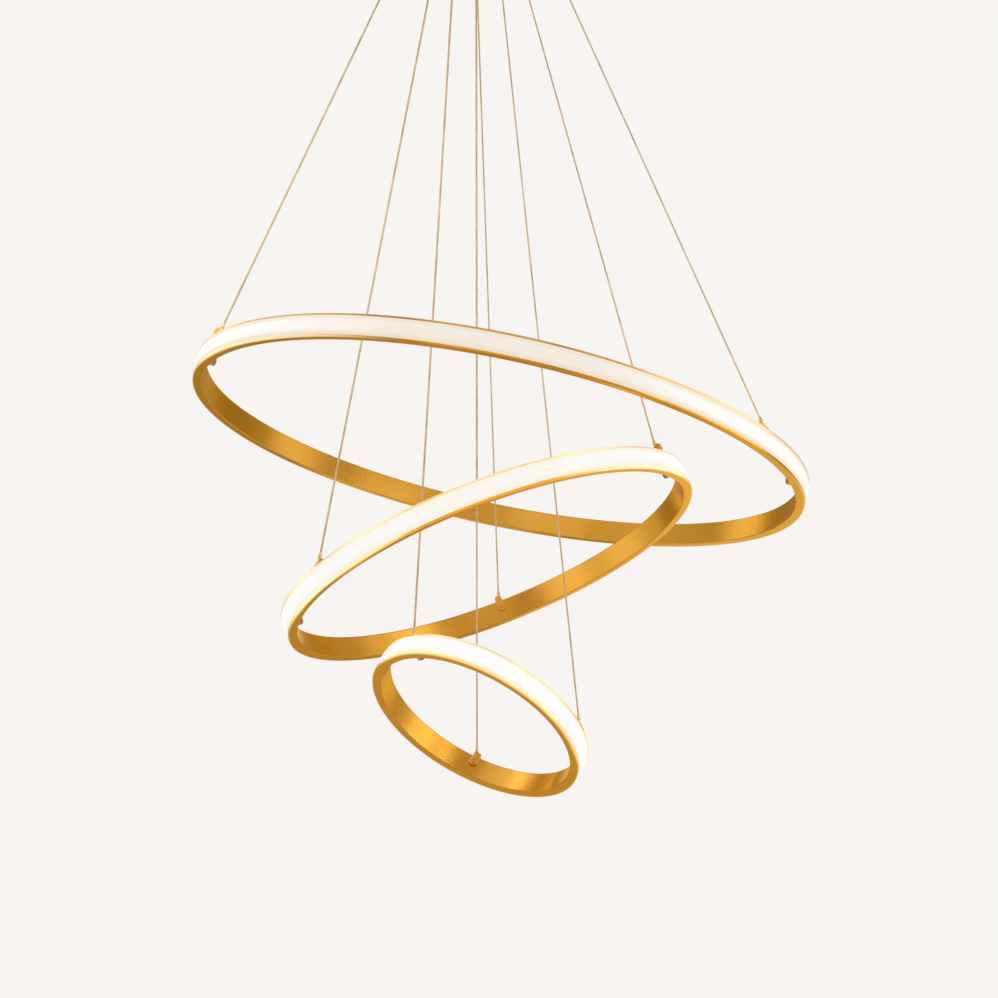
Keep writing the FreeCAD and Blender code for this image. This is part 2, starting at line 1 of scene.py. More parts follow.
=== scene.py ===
import math
import bmesh
import bpy
from mathutils import Matrix, Vector
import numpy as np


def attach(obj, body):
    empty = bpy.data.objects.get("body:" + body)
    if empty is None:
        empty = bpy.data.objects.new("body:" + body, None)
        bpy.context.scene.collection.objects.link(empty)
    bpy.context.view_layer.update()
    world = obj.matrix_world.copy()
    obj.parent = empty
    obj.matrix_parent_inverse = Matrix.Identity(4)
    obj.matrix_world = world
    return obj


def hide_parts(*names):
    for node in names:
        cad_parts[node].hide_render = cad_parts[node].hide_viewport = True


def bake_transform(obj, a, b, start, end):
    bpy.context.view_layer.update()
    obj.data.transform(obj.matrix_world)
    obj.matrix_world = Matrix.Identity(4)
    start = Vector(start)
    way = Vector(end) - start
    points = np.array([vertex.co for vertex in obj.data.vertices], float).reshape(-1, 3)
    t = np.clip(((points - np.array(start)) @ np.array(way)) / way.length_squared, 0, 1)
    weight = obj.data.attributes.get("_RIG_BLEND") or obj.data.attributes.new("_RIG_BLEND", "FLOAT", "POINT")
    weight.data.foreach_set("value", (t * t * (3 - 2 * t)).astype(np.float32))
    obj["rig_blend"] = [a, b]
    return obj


# Three-tier ring chandelier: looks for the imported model. Sizes are in metres, given as
# millimetres times MM. The origin is on the ceiling, +Z is up, and the front looks to -Y.

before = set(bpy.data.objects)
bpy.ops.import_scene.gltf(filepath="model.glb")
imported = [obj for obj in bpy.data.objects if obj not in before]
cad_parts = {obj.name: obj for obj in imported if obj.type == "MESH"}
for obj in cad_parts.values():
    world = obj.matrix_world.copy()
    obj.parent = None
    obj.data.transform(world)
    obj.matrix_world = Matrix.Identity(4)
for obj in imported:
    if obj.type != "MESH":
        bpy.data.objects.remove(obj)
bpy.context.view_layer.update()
scene = bpy.context.scene
MM = 0.001

# ---- sizes that the pieces share with the solids ----
HALF_HEIGHT = 11.0 * MM             # of a ring, along its own axis
RING_DEPTH = 9.0 * MM
WEB = 1.4 * MM
FLANGE = 1.8 * MM
CANOPY_RADIUS = 100.0 * MM
CANOPY_HEIGHT = 45.0 * MM
GRIP_LENGTH = 18.0 * MM
GRIP_EXIT_Z = -(CANOPY_HEIGHT + GRIP_LENGTH)
CABLE_TOP_Z = -66.0 * MM
BALL_RISE = 2.3 * MM
SUPPLY_CABLE = 1.8 * MM
PLAIN_CABLE = 1.4 * MM
SIDES = ("left", "right", "far")
GRIP_ANGLE = {"left": 210.0, "right": 330.0, "far": 90.0}
RINGS = {
    1: {"radius": 300.0 * MM, "drop": 593.5 * MM, "offset": 23.7 * MM, "tilt": 11.8,
        "lean": -5.3, "grip_circle": 70.0 * MM, "bushes": (198.0, 345.0),
        "hangers": {"left": 205.0, "right": 325.0, "far": 95.3}},
    2: {"radius": 205.0 * MM, "drop": 712.0 * MM, "offset": 12.9 * MM, "tilt": 20.7,
        "lean": 172.8, "grip_circle": 40.0 * MM, "bushes": (190.0, 336.0),
        "hangers": {"left": 218.0, "right": 329.5, "far": 86.0}},
    3: {"radius": 107.5 * MM, "drop": 867.0 * MM, "offset": 5.0 * MM, "tilt": 31.5,
        "lean": 34.1, "grip_circle": 23.5 * MM, "bushes": (229.0,),
        "hangers": {"left": 220.0, "right": 335.0, "far": 91.0}},
}
RING_STEPS = 288                    # divisions round a ring
CANOPY_STEPS = 192
SMALL_STEPS = 40                    # divisions round a turned fitting
MERGE = 0.002 * MM                  # points closer than this become one


def polar(radius, degrees, height):
    """A point at that radius and angle about Z."""
    turn = math.radians(degrees)
    return Vector((radius * math.cos(turn), radius * math.sin(turn), height))


def ring_matrix(n):
    """From the level frame of a ring to where it hangs."""
    ring = RINGS[n]
    lean = math.radians(ring["lean"])
    axis = Vector((-math.sin(lean), math.cos(lean), 0.0))
    place = Matrix.Translation((ring["offset"], 0.0, -ring["drop"]))
    return place @ Matrix.Rotation(math.radians(ring["tilt"]), 4, axis)


def cable_top(n, side):
    """Where a cable leaves its grip."""
    return polar(RINGS[n]["grip_circle"], GRIP_ANGLE[side], CABLE_TOP_Z)


def ball_middle(n, side):
    """The middle of the ball that the cable ends in."""
    ring = RINGS[n]
    radius = ring["radius"] - RING_DEPTH / 2
    return ring_matrix(n) @ polar(radius, ring["hangers"][side], HALF_HEIGHT + BALL_RISE)


# ---------------------------------------------------------------- camera

SENSOR_WIDTH = 36.0                 # in millimetres, as the lens is
LENS = 108.216
CAMERA_PLACE = (0.0234, -2.766, -1.447)
CAMERA_PITCH = 106.0                # degrees; 90 is level, and more looks up

camera_data = bpy.data.cameras.new("camera")
camera_data.sensor_width = SENSOR_WIDTH
camera_data.lens = LENS
camera_data.clip_start = 0.1
camera_data.clip_end = 30.0
camera = bpy.data.objects.new("camera", camera_data)
camera.location = CAMERA_PLACE
camera.rotation_euler = (math.radians(CAMERA_PITCH), 0.0, 0.0)
scene.collection.objects.link(camera)
scene.camera = camera

# ---------------------------------------------------------------- cables

CABLE_LAY = 10.0 * MM               # one full twist of the strands
STRANDS = 6                         # round the core
RADII_ACROSS = 6                    # of a strand: three strands lie side by side
STEPS_PER_LAY = 9
PROUD = 1.18                        # the strands stand out past the nominal diameter
STRAIGHT_RUN = 6.0                  # diameters from an end to the next point of the route
MOUTH_RUN = 3.6 * MM                # a cable keeps its direction through the mouth of its grip


def route_points(n, side, diameter):
    """The control points of the taut run from the grip to the ball."""
    top = cable_top(n, side)
    low = ball_middle(n, side)
    along = (low - top).normalized() * STRAIGHT_RUN * diameter
    return [top, top + along, low - along, low]


def read_route(name, points):
    """The points of the route's smooth line, in order."""
    route = bpy.data.curves.new(name + "_route", "CURVE")
    route.dimensions = "3D"
    spline = route.splines.new("NURBS")
    spline.points.add(len(points) - 1)
    for control, point in zip(spline.points, points):
        control.co = (*point, 1.0)
    spline.order_u = 3
    spline.use_endpoint_u = True
    holder = bpy.data.objects.new(name + "_route", route)
    mesh = bpy.data.meshes.new_from_object(holder)
    line = [v.co.copy() for v in mesh.vertices]
    bpy.data.objects.remove(holder)
    bpy.data.curves.remove(route)
    bpy.data.meshes.remove(mesh)
    return line


def evenly(line, step):
    """Points along the line at about that spacing, each with how far along it is."""
    length = sum((b - a).length for a, b in zip(line, line[1:]))
    count = max(2, round(length / step))
    spacing = length / count
    points = [(0.0, line[0])]
    walked = 0.0
    wanted = spacing
    for a, b in zip(line, line[1:]):
        run = (b - a).length
        while wanted <= walked + run + spacing * 1e-4 and len(points) <= count:
            share = min(1.0, (wanted - walked) / run)
            points.append((wanted, a.lerp(b, share)))
            wanted += spacing
        walked += run
    return points


def stranded(name, line, diameter):
    """Six strands laid round a core, following the line."""
    strand = diameter * PROUD / RADII_ACROSS
    path = evenly(line, CABLE_LAY / STEPS_PER_LAY)
    along = (line[-1] - line[0]).normalized()
    across = along.cross(Vector((0.0, 1.0, 0.0))).normalized()
    beside = along.cross(across)
    rope = bpy.data.curves.new(name + "_rope", "CURVE")
    rope.dimensions = "3D"
    rope.bevel_depth = strand
    rope.bevel_resolution = 1
    rope.use_fill_caps = True
    for k in range(STRANDS + 1):
        spline = rope.splines.new("POLY")
        spline.points.add(len(path) - 1)
        for point, (walked, middle) in zip(spline.points, path):
            turn = 2 * math.pi * (walked / CABLE_LAY + k / STRANDS)
            out = across * math.cos(turn) + beside * math.sin(turn)
            reach = 0.0 if k == STRANDS else 2 * strand
            point.co = (*(middle + out * reach), 1.0)
    holder = bpy.data.objects.new(name + "_rope", rope)
    mesh = bpy.data.meshes.new_from_object(holder)
    bpy.data.objects.remove(holder)
    bpy.data.curves.remove(rope)
    mesh.name = name
    for face in mesh.polygons:
        face.use_smooth = True
    return mesh


def keep_straight(cable, top, end):
    """Shares the ring's motion evenly along a cable, so that it stays taut in every pose.

    They are written over, from below the grip on.
    """
    start = top + (end - top).normalized() * MOUTH_RUN
    run = end - start
    for vert, share in zip(cable.data.vertices, cable.data.attributes["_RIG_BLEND"].data):
        share.value = min(1.0, max(0.0, (vert.co - start).dot(run) / run.length_squared))


cables = []
for n in RINGS:
    for side in SIDES:
        name = "ring_%d_%s_cable_strands" % (n, side)
        diameter = SUPPLY_CABLE if side == "left" else PLAIN_CABLE
        line = read_route(name, route_points(n, side, diameter))
        cable = bpy.data.objects.new(name, stranded(name, line, diameter))
        scene.collection.objects.link(cable)
        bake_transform(cable, "canopy", "ring_%d" % n, start=line[0], end=line[-1])
        keep_straight(cable, line[0], line[-1])
        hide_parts("ring_%d_%s_cable" % (n, side))
        cables.append(cable)

# ---------------------------------------------------------------- node groups and materials


def add(tree, kind, settings=None, **sockets):
    """A node with its settings; a socket takes a value, or a link where it is given one."""
    made = tree.nodes.new(kind)
    for key, value in (settings or {}).items():
        setattr(made, key, value)
    for key, value in sockets.items():
        socket = made.inputs[int(key[1:]) if key[1:].isdigit() else key.replace("_", " ")]
        if isinstance(value, bpy.types.NodeSocket):
            tree.links.new(value, socket)
        else:
            socket.default_value = value
    return made


def maths(tree, operation, a, b=0.0):
    """The result of a sum of one or two values."""
    node = add(tree, "ShaderNodeMath", {"operation": operation}, i0=a, i1=b)
    return node.outputs[0]


def mixed(tree, share, a, b):
    """Colour a where the share is 0, and colour b where it is 1."""
    node = add(tree, "ShaderNodeMix", {"data_type": "RGBA"}, i0=share, i6=a, i7=b)
    return node.outputs[2]


def ramp(tree, value, low, high, out_low=0.0, out_high=1.0):
    """The value carried evenly from one range to another."""
    node = add(tree, "ShaderNodeMapRange", None, Value=value, From_Min=low, From_Max=high,
               To_Min=out_low, To_Max=out_high)
    return node.outputs[0]


def smooth_ramp(tree, value, low, high):
    """0 up to low and 1 from high, with soft ends. Low may be the larger one."""
    node = add(tree, "ShaderNodeMapRange", {"interpolation_type": "SMOOTHSTEP"}, Value=value,
               From_Min=low, From_Max=high)
    return node.outputs[0]


def new_group(name, inputs, outputs):
    """A shader node group with named sockets; returns it with its two end nodes."""
    group = bpy.data.node_groups.new(name, "ShaderNodeTree")
    for kind, label, value in inputs:
        socket = group.interface.new_socket(name=label, in_out="INPUT", socket_type=kind)
        if value is not None:
            socket.default_value = value
    for kind, label in outputs:
        group.interface.new_socket(name=label, in_out="OUTPUT", socket_type=kind)
    return group, group.nodes.new("NodeGroupInput"), group.nodes.new("NodeGroupOutput")


def grain_group():
    """Fine lines of a rolled or turned metal: long round the piece, very narrow across it."""
    group, start, end = new_group(
        "turned_grain",
        [("NodeSocketVector", "Place", None), ("NodeSocketFloat", "Across", 0.0),
         ("NodeSocketFloat", "Along Scale", 6.0), ("NodeSocketFloat", "Line Width", 0.0003)],
        [("NodeSocketFloat", "Lines"), ("NodeSocketFloat", "Blotches")])
    slow = add(group, "ShaderNodeVectorMath", {"operation": "SCALE"},
               i0=start.outputs["Place"], Scale=start.outputs["Along Scale"])
    fine = maths(group, "DIVIDE", start.outputs["Across"], start.outputs["Line Width"])
    lift = add(group, "ShaderNodeCombineXYZ", None, Z=fine)
    spot = add(group, "ShaderNodeVectorMath", {"operation": "ADD"},
               i0=slow.outputs[0], i1=lift.outputs[0])
    lines = add(group, "ShaderNodeTexNoise", None, Vector=spot.outputs[0], Scale=1.0,
                Detail=3.0, Roughness=0.6)
    blotches = add(group, "ShaderNodeTexNoise", None, Vector=slow.outputs[0], Scale=1.7,
                   Detail=2.0, Roughness=0.5)
    group.links.new(lines.outputs[0], end.inputs["Lines"])
    group.links.new(blotches.outputs[0], end.inputs["Blotches"])
    return group


def handling_group():
    """Faint smudges and tiny scuffs left by handling."""
    group, start, end = new_group(
        "handling_marks",
        [("NodeSocketVector", "Place", None), ("NodeSocketFloat", "Smudge Size", 0.03),
         ("NodeSocketFloat", "Scuff Size", 0.0015)],
        [("NodeSocketFloat", "Smudges"), ("NodeSocketFloat", "Scuffs")])
    per_smudge = maths(group, "DIVIDE", 1.0, start.outputs["Smudge Size"])
    per_scuff = maths(group, "DIVIDE", 1.0, start.outputs["Scuff Size"])
    smudge = add(group, "ShaderNodeTexNoise", None, Vector=start.outputs["Place"],
                 Scale=per_smudge, Detail=4.0, Roughness=0.65)
    scuff = add(group, "ShaderNodeTexNoise", None, Vector=start.outputs["Place"],
                Scale=per_scuff, Detail=2.0, Roughness=0.4)
    group.links.new(ramp(group, smudge.outputs[0], 0.42, 0.72), end.inputs["Smudges"])
    group.links.new(ramp(group, scuff.outputs[0], 0.62, 0.74), end.inputs["Scuffs"])
    return group


def mould_group():
    """The fine matt texture of moulded plastic, as a height and a shade."""
    group, start, end = new_group(
        "moulded_texture",
        [("NodeSocketVector", "Place", None), ("NodeSocketFloat", "Grain Size", 0.0006)],
        [("NodeSocketFloat", "Height"), ("NodeSocketFloat", "Shade")])
    per_grain = maths(group, "DIVIDE", 1.0, start.outputs["Grain Size"])
    grain = add(group, "ShaderNodeTexVoronoi", {"feature": "SMOOTH_F1"},
                Vector=start.outputs["Place"], Scale=per_grain)
    shade = add(group, "ShaderNodeTexNoise", None, Vector=start.outputs["Place"],
                Scale=22.0, Detail=3.0)
    group.links.new(grain.outputs["Distance"], end.inputs["Height"])
    group.links.new(shade.outputs[0], end.inputs["Shade"])
    return group


TURNED_GRAIN = grain_group()
HANDLING_MARKS = handling_group()
MOULDED_TEXTURE = mould_group()


def new_material(name):
    """A material, with its node tree and its main shader."""
    material = bpy.data.materials.new(name)
    material.use_nodes = True
    return material, material.node_tree, material.node_tree.nodes["Principled BSDF"]


def place_group(tree, group, **sockets):
    """A node that holds the group."""
    return add(tree, "ShaderNodeGroup", {"node_tree": group}, **sockets)


def towards(tree, ring, way):
    """0 on most of a ring, 1 at its left (way -1) or its right (way 1)."""
    place = add(tree, "ShaderNodeTexCoord").outputs["Object"]
    along = add(tree, "ShaderNodeSeparateXYZ", None, Vector=place).outputs[0]
    outward = maths(tree, "MULTIPLY", maths(tree, "SUBTRACT", along, ring["offset"]), way)
    return smooth_ramp(tree, outward, ring["radius"] * 0.25, ring["radius"] * 0.75)


def sideways(tree, ring):
    """0 at the front and back of a ring, 1 at its left and right."""
    return maths(tree, "ADD", towards(tree, ring, -1.0), towards(tree, ring, 1.0))


def front_half(tree, ring):
    """1 along the front of a ring, 0 from its ends backwards."""
    place = add(tree, "ShaderNodeTexCoord").outputs["Object"]
    depth = add(tree, "ShaderNodeSeparateXYZ", None, Vector=place).outputs[1]
    return smooth_ramp(tree, depth, ring["radius"] * -0.15, ring["radius"] * -0.45)


THIN_REACH = 1.6 * MM               # of the painted glow on the back half of a lower lip
# colour of the painted glow on the back half of a lower lip
PAINTED_THIN_GLOW = (0.30, 0.26, 0.13, 1.0)
UNLIT = (0.0, 0.0, 0.0, 1.0)


def painted_lip_glow(tree, shader, ring, reach, upper, upper_sides, lower, lower_left, lower_right):
    """Painted light: an emission glow on the upper and lower lips of the channel, standing in for light from
    the diffuser, with its own colours at the front, back, left and right.

    Reach is how far in from the outer edge of a lip the painted glow goes.
    """
    uv = add(tree, "ShaderNodeUVMap", {"uv_map": "section"}).outputs[0]
    section = add(tree, "ShaderNodeSeparateXYZ", None, Vector=uv)
    above = ramp(tree, section.outputs[1], -1.0 * MM, 1.0 * MM)
    # painted glow colours on the lips: the upper ones change at the sides, the lower ones at the left, the
    # right and the back half
    top = mixed(tree, sideways(tree, ring), upper, upper_sides)
    low = mixed(tree, towards(tree, ring, -1.0), lower, lower_left)
    low = mixed(tree, towards(tree, ring, 1.0), low, lower_right)
    low = mixed(tree, front_half(tree, ring), PAINTED_THIN_GLOW, low)
    stretch = maths(tree, "MULTIPLY", front_half(tree, ring), THIN_REACH - reach)
    begins = maths(tree, "SUBTRACT", stretch, THIN_REACH)
    near = smooth_ramp(tree, section.outputs[0], begins, 0.2 * MM)
    shown = mixed(tree, near, UNLIT, mixed(tree, above, low, top))
    tree.links.new(shown, shader.inputs["Emission Color"])
    shader.inputs["Emission Strength"].default_value = 1.0


LINE_SHARE = 0.25                   # of the fine lines in a metal's tone; blotches do the rest
POLISH_SWING = 0.02                 # how far the fine lines change its roughness
MARKED = 0.03                       # roughness that smudges add, and scuffs as much


def metal(name, deep, light, rough, line_width=0.35 * MM, line_depth=0.003 * MM, wrap=True,
          along=6.0, rim=(1.0, 0.82, 0.48, 1.0)):
    """A plated metal: fine lines, slow changes of tone, smudges and small scuffs.

    The lines lie round the piece by its wrap map, or level where it has none. Rim is the colour
    that it mirrors at a glancing angle.
    """
    material, tree, shader = new_material(name)
    place = add(tree, "ShaderNodeTexCoord").outputs["Object"]
    if wrap:
        uv = add(tree, "ShaderNodeUVMap", {"uv_map": "wrap"}).outputs[0]
        across = add(tree, "ShaderNodeSeparateXYZ", None, Vector=uv).outputs[1]
    else:
        across = add(tree, "ShaderNodeSeparateXYZ", None, Vector=place).outputs[2]
    grain = place_group(tree, TURNED_GRAIN, Place=place, Across=across, Along_Scale=along,
                        Line_Width=line_width)
    marks = place_group(tree, HANDLING_MARKS, Place=place)
    tone = maths(tree, "ADD", maths(tree, "MULTIPLY", grain.outputs["Lines"], LINE_SHARE),
                 maths(tree, "MULTIPLY", grain.outputs["Blotches"], 1.0 - LINE_SHARE))
    colour = mixed(tree, ramp(tree, tone, 0.30, 0.70), deep, light)
    tree.links.new(colour, shader.inputs["Base Color"])
    polish = ramp(tree, grain.outputs["Lines"], 0.3, 0.7, rough - POLISH_SWING,
                  rough + POLISH_SWING)
    smudged = maths(tree, "MULTIPLY_ADD", marks.outputs["Smudges"], MARKED)
    tree.links.new(polish, smudged.node.inputs[2])
    scuffed = maths(tree, "MULTIPLY_ADD", marks.outputs["Scuffs"], MARKED)
    tree.links.new(smudged, scuffed.node.inputs[2])
    tree.links.new(scuffed, shader.inputs["Roughness"])
    bump = add(tree, "ShaderNodeBump", None, Strength=0.35, Distance=line_depth,
               Height=grain.outputs["Lines"])
    tree.links.new(bump.outputs[0], shader.inputs["Normal"])
    shader.inputs["Metallic"].default_value = 1.0
    shader.inputs["Specular Tint"].default_value = rim
    return material


def gold_with_painted_glow(name, ring, **spill):
    """The ring gold, with a painted glow of the diffuser on its lips."""
    made = metal(name, (0.79, 0.375, 0.042, 1.0), (0.87, 0.44, 0.062, 1.0), 0.25,
                 line_depth=0.0005 * MM)
    tree = made.node_tree
    painted_lip_glow(tree, tree.nodes["Principled BSDF"], ring, **spill)
    return made


def cable_wire():
    """Clear-coated steel strand: pale and warm, with a soft shine."""
    made = metal("cable_wire", (0.54, 0.36, 0.18, 1.0), (0.86, 0.66, 0.40, 1.0), 0.42,
                 line_width=4.0 * MM, line_depth=0.004 * MM, wrap=False, along=30.0,
                 rim=(1.0, 0.9, 0.75, 1.0))
    shader = made.node_tree.nodes["Principled BSDF"]
    shader.inputs["Metallic"].default_value = 0.1
    shader.inputs["Coat Weight"].default_value = 0.3
    shader.inputs["Coat Roughness"].default_value = 0.25
    return made


def plastic(name, deep, light, rough, grain_size=0.6 * MM, depth=0.03 * MM, soft=0.0):
    """A moulded plastic: fine matt texture and a slow change of shade."""
    material, tree, shader = new_material(name)
    place = add(tree, "ShaderNodeTexCoord").outputs["Object"]
    mould = place_group(tree, MOULDED_TEXTURE, Place=place, Grain_Size=grain_size)
    marks = place_group(tree, HANDLING_MARKS, Place=place)
    colour = mixed(tree, ramp(tree, mould.outputs["Shade"], 0.35, 0.65), deep, light)
    tree.links.new(colour, shader.inputs["Base Color"])
    polish = ramp(tree, marks.outputs["Smudges"], 0.0, 1.0, rough + 0.04, rough - 0.05)
    tree.links.new(polish, shader.inputs["Roughness"])
    bump = add(tree, "ShaderNodeBump", None, Strength=0.3, Distance=depth,
               Height=mould.outputs["Height"])
    tree.links.new(bump.outputs[0], shader.inputs["Normal"])
    shader.inputs["Subsurface Weight"].default_value = soft
    return material


CAP_BEGINS = -2.6 * MM              # of the brown end of a bush, from the face of the ring
CAP_FULL = -3.0 * MM
CAP_BROWN = (0.44, 0.21, 0.03, 1.0)


def bush_plastic():
    """A pale moulded body with a brown inner end."""
    made = plastic("bush_plastic", (0.68, 0.41, 0.10, 1.0), (0.84, 0.58, 0.22, 1.0), 0.25)
    tree = made.node_tree
    shader = tree.nodes["Principled BSDF"]
    body = shader.inputs["Base Color"].links[0].from_socket
    uv = add(tree, "ShaderNodeUVMap", {"uv_map": "section"}).outputs[0]
    section = add(tree, "ShaderNodeSeparateXYZ", None, Vector=uv)
    capped = ramp(tree, section.outputs[0], CAP_BEGINS, CAP_FULL)
    tree.links.new(mixed(tree, capped, body, CAP_BROWN), shader.inputs["Base Color"])
    return made


SILICONE_BODY = 0.18                # its own colour is dark, since its glow is what shows


def lit_silicone(name, ring, middle, sides, shade, edge):
    """The lit diffuser: even in the middle, warmer and dimmer towards the flanges.

    Sides is its colour at the left and right of the ring, where painted light makes the glow paler. Shade is
    its colour near the flanges, and edge the one against them.
    """
    body = SILICONE_BODY
    material, tree, shader = new_material(name)
    place = add(tree, "ShaderNodeTexCoord").outputs["Object"]
    uv = add(tree, "ShaderNodeUVMap", {"uv_map": "section"}).outputs[0]
    height = add(tree, "ShaderNodeSeparateXYZ", None, Vector=uv).outputs[1]
    off_middle = maths(tree, "ABSOLUTE", height)
    fade = smooth_ramp(tree, off_middle, 3.5 * MM, 8.0 * MM)
    rim = smooth_ramp(tree, off_middle, 7.8 * MM, 9.4 * MM)
    # painted light: the glow is made paler at the left and right of the ring
    painted_whiter_sides = sideways(tree, ring)
    mould = place_group(tree, MOULDED_TEXTURE, Place=place, Grain_Size=0.9 * MM)
    lively = ramp(tree, mould.outputs["Shade"], 0.3, 0.7, 0.985, 1.015)
    centre = mixed(tree, painted_whiter_sides, middle, sides)
    tint = mixed(tree, rim, mixed(tree, fade, centre, shade), edge)
    scaled = add(tree, "ShaderNodeVectorMath", {"operation": "SCALE"}, i0=tint, Scale=lively)
    tree.links.new(scaled.outputs[0], shader.inputs["Emission Color"])
    shader.inputs["Emission Strength"].default_value = 1.0
    white = mixed(tree, ramp(tree, mould.outputs["Shade"], 0.3, 0.7), (body, body, body, 1.0),
                  (body * 1.05, body * 1.04, body * 1.02, 1.0))
    tree.links.new(white, shader.inputs["Base Color"])
    bump = add(tree, "ShaderNodeBump", None, Strength=0.15, Distance=0.02 * MM,
               Height=mould.outputs["Height"])
    tree.links.new(bump.outputs[0], shader.inputs["Normal"])
    shader.inputs["Roughness"].default_value = 0.5
    return material


# each ring's gold carries its own painted lip glow colours
RING_GOLD = {
    1: gold_with_painted_glow("ring_gold_large", RINGS[1], reach=4.0 * MM,
                upper=(0.0, 0.03, 0.05, 1.0), upper_sides=(0.34, 0.36, 0.30, 1.0),
                lower=UNLIT, lower_left=(0.75, 0.70, 0.48, 1.0), lower_right=UNLIT),
    2: gold_with_painted_glow("ring_gold_middle", RINGS[2], reach=4.5 * MM,
                upper=(0.46, 0.50, 0.33, 1.0), upper_sides=(0.46, 0.50, 0.42, 1.0),
                lower=(0.42, 0.18, 0.02, 1.0), lower_left=(0.75, 0.76, 0.52, 1.0),
                lower_right=(0.75, 0.84, 0.68, 1.0)),
    3: gold_with_painted_glow("ring_gold_small", RINGS[3], reach=4.5 * MM,
                upper=(0.44, 0.50, 0.36, 1.0), upper_sides=(0.40, 0.42, 0.28, 1.0),
                lower=(0.62, 0.52, 0.28, 1.0), lower_left=(0.75, 0.78, 0.52, 1.0),
                lower_right=(0.60, 0.50, 0.26, 1.0)),
}
CANOPY_GOLD = metal("canopy_gold", (0.78, 0.38, 0.05, 1.0), (0.88, 0.46, 0.08, 1.0), 0.3)
FITTING_BRASS = metal("fitting_brass", (0.72, 0.37, 0.06, 1.0), (0.90, 0.52, 0.12, 1.0), 0.22,
                      line_width=0.2 * MM, line_depth=0.002 * MM)
CLASP_BRASS = metal("clasp_brass", (0.80, 0.40, 0.05, 1.0), (0.92, 0.50, 0.08, 1.0), 0.20,
                    line_width=0.5 * MM, line_depth=0.001 * MM, wrap=False, along=40.0)
FERRULE_BRASS = metal("ferrule_brass", (0.84, 0.55, 0.20, 1.0), (0.96, 0.74, 0.38, 1.0), 0.18,
                      line_width=0.2 * MM, line_depth=0.001 * MM, rim=(1.0, 0.95, 0.8, 1.0))
FERRULE_BRASS.node_tree.nodes["Principled BSDF"].inputs["Metallic"].default_value = 0.6
CABLE_STEEL = cable_wire()
BAR_STEEL = metal("bar_steel", (0.50, 0.51, 0.52, 1.0), (0.68, 0.69, 0.70, 1.0), 0.36,
                  line_width=0.5 * MM, line_depth=0.004 * MM, wrap=False, along=14.0,
                  rim=(0.8, 0.8, 0.8, 1.0))
DRIVER_WHITE = plastic("driver_white", (0.70, 0.70, 0.68, 1.0), (0.80, 0.80, 0.78, 1.0), 0.45)
TERMINAL_WHITE = plastic("terminal_white", (0.62, 0.60, 0.54, 1.0), (0.74, 0.72, 0.66, 1.0),
                         0.4)
BUSH_PLASTIC = bush_plastic()
BOARD_WHITE = plastic("board_white", (0.74, 0.74, 0.72, 1.0), (0.82, 0.82, 0.80, 1.0), 0.5)
PHOSPHOR = plastic("phosphor", (0.80, 0.52, 0.08, 1.0), (0.86, 0.60, 0.12, 1.0), 0.5)
# sides holds the painted paler glow at the left and right of each ring
DIFFUSER = {
    1: lit_silicone("diffuser_large", RINGS[1],
                    middle=(0.72, 0.645, 0.546, 1.0), sides=(0.79, 0.755, 0.70, 1.0),
                    shade=(0.673, 0.58, 0.43, 1.0), edge=(0.66, 0.54, 0.33, 1.0)),
    2: lit_silicone("diffuser_middle", RINGS[2],
                    middle=(0.785, 0.762, 0.72, 1.0), sides=(0.79, 0.775, 0.745, 1.0),
                    shade=(0.775, 0.735, 0.605, 1.0), edge=(0.766, 0.67, 0.41, 1.0)),
    3: lit_silicone("diffuser_small", RINGS[3],
                    middle=(0.80, 0.797, 0.785, 1.0), sides=(0.80, 0.80, 0.79, 1.0),
                    shade=(0.783, 0.771, 0.68, 1.0), edge=(0.775, 0.735, 0.51, 1.0)),
}

# ---------------------------------------------------------------- making pieces

WRAP_SCALE = 0.1                    # metres of the wrap map to each radian round the piece
CREASE = 32.0                       # degrees; a sharper edge is shaded as an edge


def outline(corners):
    """A closed outline in the XZ plane. Each corner is (x, z, rounding)."""
    shape = bmesh.new()
    verts = [shape.verts.new((x, 0.0, z)) for x, z, _ in corners]
    shape.faces.new(verts)
    for rounding in sorted({r for _, _, r in corners if r > 0}):
        chosen = [v for v, (_, _, r) in zip(verts, corners) if r == rounding]
        bmesh.ops.bevel(shape, geom=chosen, offset=rounding, segments=3, profile=0.5,
                        affect="VERTICES", material=-1)
    bmesh.ops.delete(shape, geom=shape.faces[:], context="FACES_ONLY")
    return shape


def spun(shape, steps):
    """The outline in the XZ plane, turned once about Z."""
    bmesh.ops.spin(shape, geom=shape.verts[:] + shape.edges[:], cent=(0, 0, 0),
                   axis=(0, 0, 1), dvec=(0, 0, 0), angle=2 * math.pi, steps=steps,
                   use_merge=True)
    bmesh.ops.remove_doubles(shape, verts=shape.verts, dist=MERGE)
    bmesh.ops.dissolve_degenerate(shape, dist=MERGE / 2, edges=shape.edges)
    bmesh.ops.recalc_face_normals(shape, faces=shape.faces)
    return shape


def wrapped(shape, reference=0.0):
    """Two UV maps in metres: round the piece, and its section as radius and height.

    The radius in the section map is counted from the reference.
    """
    wrap = shape.loops.layers.uv.new("wrap")
    section = shape.loops.layers.uv.new("section")
    for face in shape.faces:
        middle = face.calc_center_median()
        around = math.atan2(middle.y, middle.x)
        for loop in face.loops:
            co = loop.vert.co
            radius = math.hypot(co.x, co.y)
            turn = math.atan2(co.y, co.x) if radius > MERGE else around
            if turn - around > math.pi:
                turn -= 2 * math.pi
            if around - turn > math.pi:
                turn += 2 * math.pi
            loop[wrap].uv = (turn * WRAP_SCALE, co.z + radius)
            loop[section].uv = (radius - reference, co.z)
    return shape


